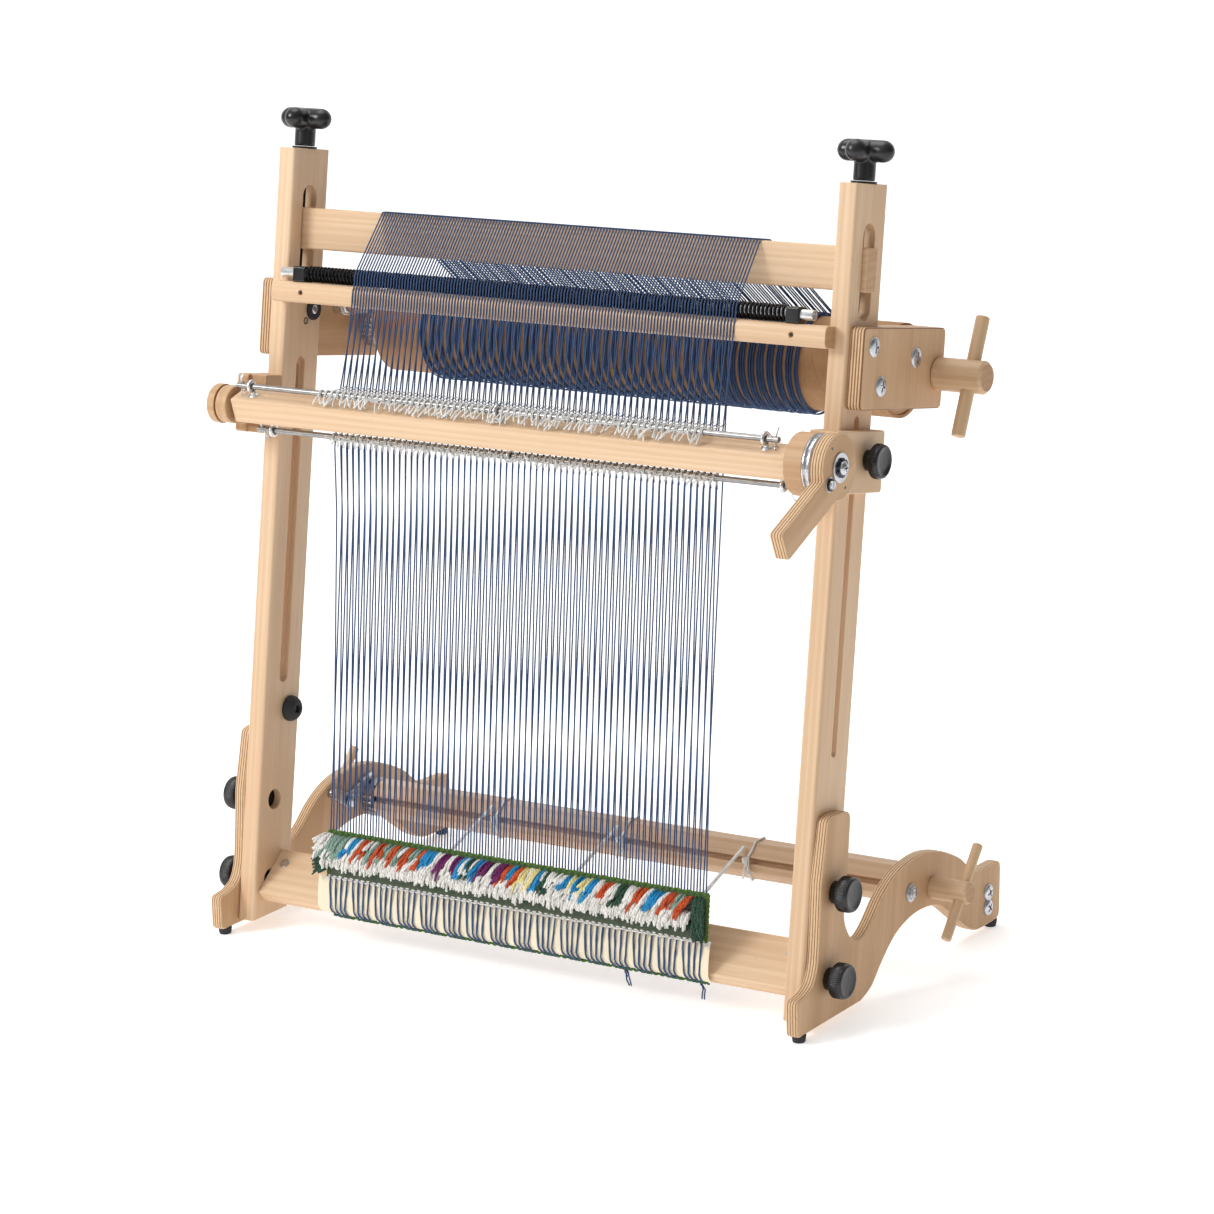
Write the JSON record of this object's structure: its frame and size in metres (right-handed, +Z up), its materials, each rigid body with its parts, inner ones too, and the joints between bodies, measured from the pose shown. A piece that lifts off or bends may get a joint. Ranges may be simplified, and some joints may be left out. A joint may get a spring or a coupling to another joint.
{
  "type": "tapestry loom",
  "caption": "Upright tabletop tapestry loom with a warp roller, tension beam, spring spacer, shedding bar with side lever, cloth beam and a rug begun on its warp.",
  "frame": {"origin": "on the floor, under the middle of the whole loom's box", "axes": "+X to the weaver's right, +Y from the weaver to the back, +Z up"},
  "size_m": [0.756, 0.4332, 0.7941],
  "materials": {
    "maple": "clear satin oil, straight grain",
    "plywood": "clear satin, striped plies on the edges",
    "beech": "clear satin, warmer and darker than the frame",
    "black_rubber": "matt",
    "black_plastic": "satin moulded",
    "black_steel": "black oxide",
    "zinc_steel": "bright zinc plate",
    "aluminium": "satin",
    "cardboard": "spiral wound brown paper",
    "warp_yarn": "twisted cotton seine twine",
    "rug_wool": "knotted wool pile",
    "card": "uncoated card",
    "white_cord": "braided cotton"
  },
  "bodies": {
    "frame": {"post_left": "maple", "post_right": "maple", "foot_plate_left": "plywood", "foot_plate_right": "plywood", "rubber_feet": "black_rubber", "foot_bolts": "black_steel", "bottom_plank": "maple", "front_stick": "maple", "frame_screws": "zinc_steel", "spring_tube": "aluminium", "warp_spring": "black_steel", "spring_clamps": "black_plastic", "warp_bracket_left": "plywood", "warp_bracket_right": "plywood", "bracket_spacers": "plywood", "post_bumpers": "black_rubber", "pawl_bolts": "zinc_steel", "tension_washers": "black_plastic", "warp_sheet": "warp_yarn", "warp_over_beam": "warp_yarn", "rug": "rug_wool", "card_strip": "card", "apron_cords": "white_cord", "warp_rod": "zinc_steel"},
    "top_beam": {"top_beam": "maple"},
    "tension_screw_left": {"tension_knob_left": "black_plastic", "tension_rod_left": "black_steel"},
    "tension_screw_right": {"tension_knob_right": "black_plastic", "tension_rod_right": "black_steel"},
    "warp_roller": {"roller_core": "maple", "cardboard_tube": "cardboard", "warp_winding": "warp_yarn", "warp_ratchet": "zinc_steel", "warp_crank_hub": "maple", "warp_crank_dowel": "maple"},
    "warp_pawl": {"warp_pawl": "zinc_steel"},
    "cloth_beam": {"cloth_beam": "maple", "cloth_ratchet": "zinc_steel", "cloth_crank_hubs": "maple", "cloth_crank_dowels": "maple"},
    "cloth_pawl": {"cloth_pawl": "zinc_steel"},
    "foot_knob_left_upper": {"foot_knob_left_upper": "black_plastic"},
    "foot_knob_left_lower": {"foot_knob_left_lower": "black_plastic"},
    "foot_knob_right_upper": {"foot_knob_right_upper": "black_plastic"},
    "foot_knob_right_lower": {"foot_knob_right_lower": "black_plastic"},
    "shed_carriage": {"shed_block_left": "beech", "shed_block_right": "beech", "shed_clamp_bolts": "zinc_steel", "heddles": "white_cord"},
    "shed_knob_left": {"shed_knob_left": "black_plastic"},
    "shed_knob_right": {"shed_knob_right": "black_plastic"},
    "shed_bar": {"shed_beam": "maple", "shed_disc": "beech", "shed_ring": "zinc_steel", "shed_cap": "beech", "shed_lever": "plywood", "lever_fasteners": "zinc_steel", "eyebolts": "zinc_steel", "heddle_rods": "zinc_steel"}
  },
  "joints": [
    {"name": "tension_turn_left", "type": "hinge", "parent": "frame", "child": "tension_screw_left", "pos_m": [-0.316, 0.00331, 0.78112], "axis": [0, -0.1633, -0.9866], "range_deg": [-4810, 3850]},
    {"name": "tension_turn_right", "type": "hinge", "parent": "frame", "child": "tension_screw_right", "pos_m": [0.302, 0.00331, 0.78112], "axis": [0, -0.1633, -0.9866], "range_deg": [-4810, 3850]},
    {"name": "beam_lift", "type": "slide", "parent": "frame", "child": "top_beam", "axis": [0, 0.1633, 0.9866], "range_m": [-0.02, 0.016], "deforming": ["warp_over_beam"]},
    {"name": "warp_roller_turn", "type": "hinge", "parent": "frame", "child": "warp_roller", "pos_m": [-0.007, 0.08876, 0.56678], "axis": [1, 0, 0], "continuous": true},
    {"name": "warp_pawl_lift", "type": "hinge", "parent": "frame", "child": "warp_pawl", "pos_m": [-0.3035, 0.03262, 0.59382], "axis": [1, 0, 0], "range_deg": [0, 40]},
    {"name": "cloth_beam_turn", "type": "hinge", "parent": "frame", "child": "cloth_beam", "pos_m": [-0.007, 0.0775, 0.077], "axis": [1, 0, 0], "continuous": true, "deforming": ["apron_cords"]},
    {"name": "cloth_pawl_lift", "type": "hinge", "parent": "frame", "child": "cloth_pawl", "pos_m": [-0.323, 0.0345, 0.084], "axis": [1, 0, 0], "range_deg": [0, 25]},
    {"name": "foot_knob_left_upper_turn", "type": "hinge", "parent": "frame", "child": "foot_knob_left_upper", "pos_m": [-0.347, -0.10905, 0.12567], "axis": [-1, 0, 0], "continuous": true},
    {"name": "foot_knob_left_lower_turn", "type": "hinge", "parent": "frame", "child": "foot_knob_left_lower", "pos_m": [-0.347, -0.122, 0.04743], "axis": [-1, 0, 0], "continuous": true},
    {"name": "foot_knob_right_upper_turn", "type": "hinge", "parent": "frame", "child": "foot_knob_right_upper", "pos_m": [0.333, -0.10905, 0.12567], "axis": [1, 0, 0], "continuous": true},
    {"name": "foot_knob_right_lower_turn", "type": "hinge", "parent": "frame", "child": "foot_knob_right_lower", "pos_m": [0.333, -0.122, 0.04743], "axis": [1, 0, 0], "continuous": true},
    {"name": "shed_slide", "type": "slide", "parent": "frame", "child": "shed_carriage", "axis": [0, 0.1633, 0.9866], "range_m": [-0.25, 0.016], "deforming": ["warp_sheet"]},
    {"name": "shed_knob_left_turn", "type": "hinge", "parent": "shed_carriage", "child": "shed_knob_left", "pos_m": [-0.348, -0.04144, 0.5108], "axis": [-1, 0, 0], "continuous": true},
    {"name": "shed_knob_right_turn", "type": "hinge", "parent": "shed_carriage", "child": "shed_knob_right", "pos_m": [0.334, -0.04144, 0.5108], "axis": [1, 0, 0], "continuous": true},
    {"name": "shed_lever_turn", "type": "hinge", "parent": "shed_carriage", "child": "shed_bar", "pos_m": [-0.007, -0.11422, 0.5193], "axis": [-1, 0, 0], "range_deg": [0, 80], "deforming": ["heddles"]}
  ],
  "couplings": [
    {"joint": "tension_turn_left", "follows": "beam_lift", "rad_per_m": 4188.8},
    {"joint": "tension_turn_right", "follows": "beam_lift", "rad_per_m": 4188.8}
  ]
}
